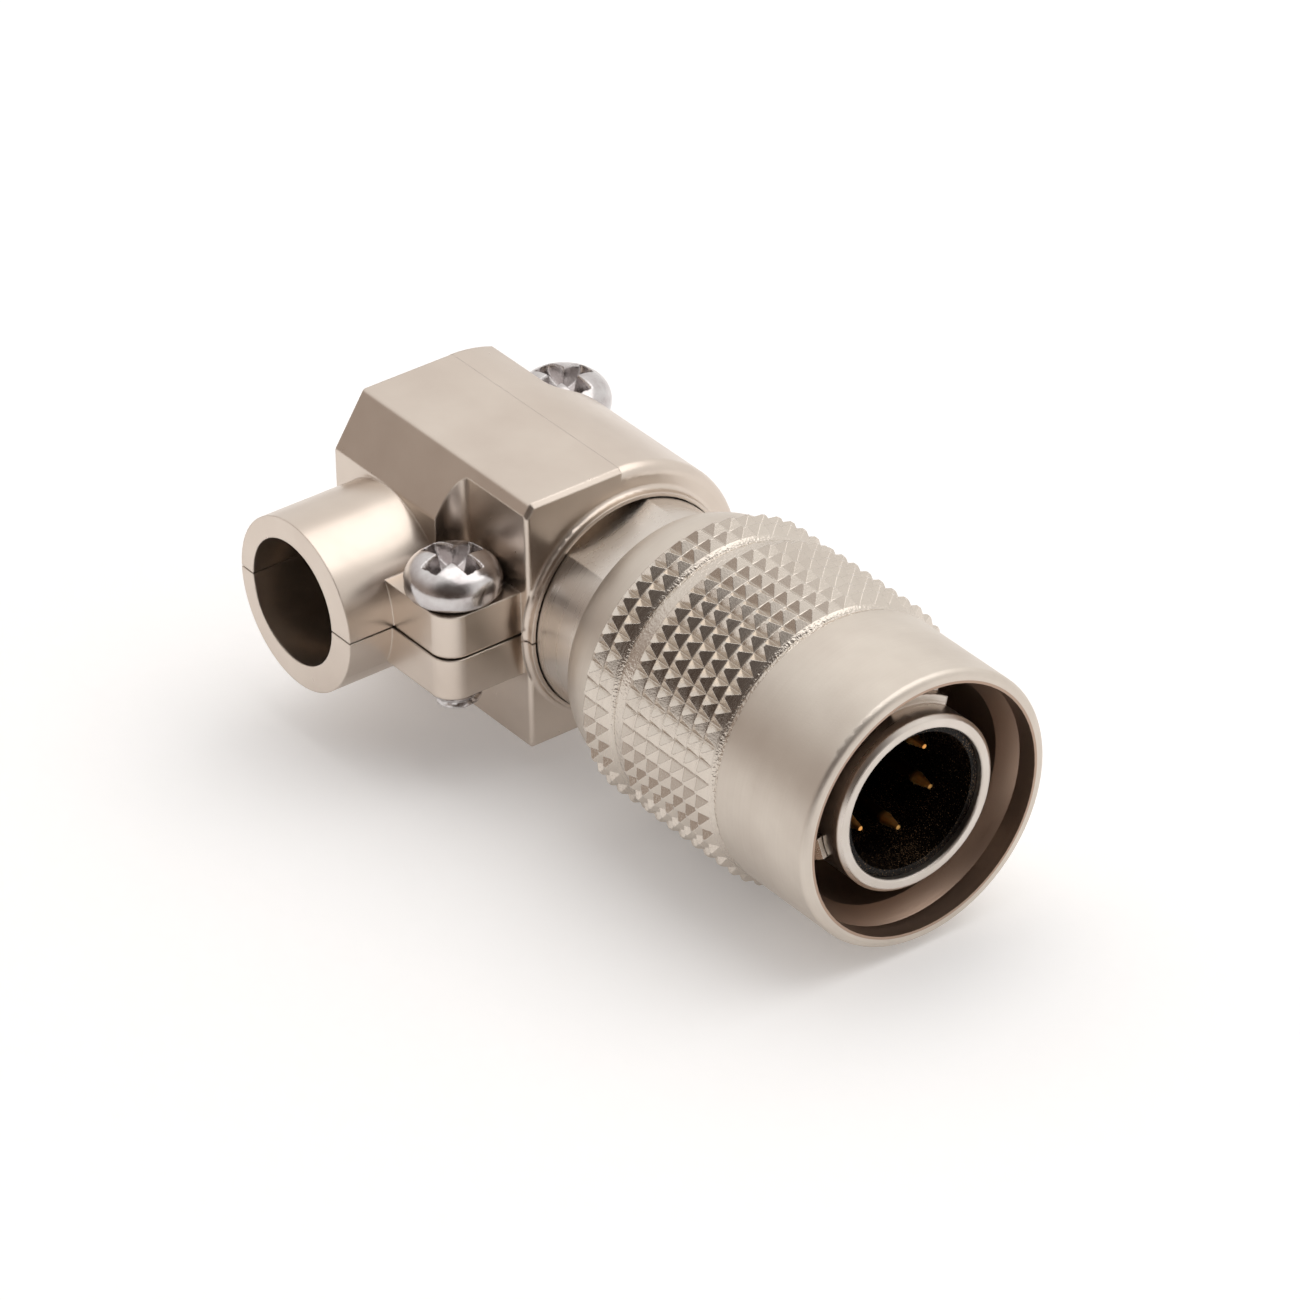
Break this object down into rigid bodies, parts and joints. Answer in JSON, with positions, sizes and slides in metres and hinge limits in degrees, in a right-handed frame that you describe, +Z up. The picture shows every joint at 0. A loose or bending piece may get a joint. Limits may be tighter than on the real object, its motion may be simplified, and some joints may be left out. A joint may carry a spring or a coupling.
{
  "type": "right angle cable connector",
  "caption": "Right angle push-pull circular cable plug with knurled coupling sleeve, male contacts and a two-part housing with side cable outlet.",
  "frame": {"origin": "centre of the plug barrel's front rim, on the mating axis", "axes": "+X along the mating axis out of the plug, -Y towards the cable outlet, +Z up, square to the plane in which the housing halves meet"},
  "size_m": [0.0284, 0.0155, 0.0116],
  "materials": {
    "satin_nickel": "satin nickel plate",
    "bright_nickel": "polished nickel plate",
    "cast_nickel": "semi-gloss nickel plate on die casting",
    "spring_steel": "bright spring steel",
    "screw_steel": "bright plated screw steel",
    "insulator_black": "glossy moulded plastic",
    "contact_gold": "gold plate"
  },
  "bodies": {
    "plug": {"plug_shell": "bright_nickel", "latch_spring": "spring_steel", "insulator_front": "insulator_black", "insulator_rear": "insulator_black", "insert_retainer": "bright_nickel", "contact_pin_1": "contact_gold", "contact_pin_2": "contact_gold", "contact_pin_3": "contact_gold", "contact_pin_4": "contact_gold", "contact_pin_5": "contact_gold", "contact_pin_6": "contact_gold", "return_spring": "spring_steel", "spring_seat": "spring_steel", "clamp_nut": "bright_nickel", "housing_upper": "cast_nickel", "housing_lower": "cast_nickel", "clamp_screw_near": "screw_steel", "clamp_screw_far": "screw_steel"},
    "sleeve": {"coupling_sleeve": "satin_nickel"}
  },
  "joints": [
    {"name": "sleeve_slide", "type": "slide", "parent": "plug", "child": "sleeve", "axis": [-1, 0, 0], "range_m": [0, 0.0018], "stiffness_N_per_m": 1500, "springref_m": -0.002, "deforming": ["return_spring"]}
  ]
}
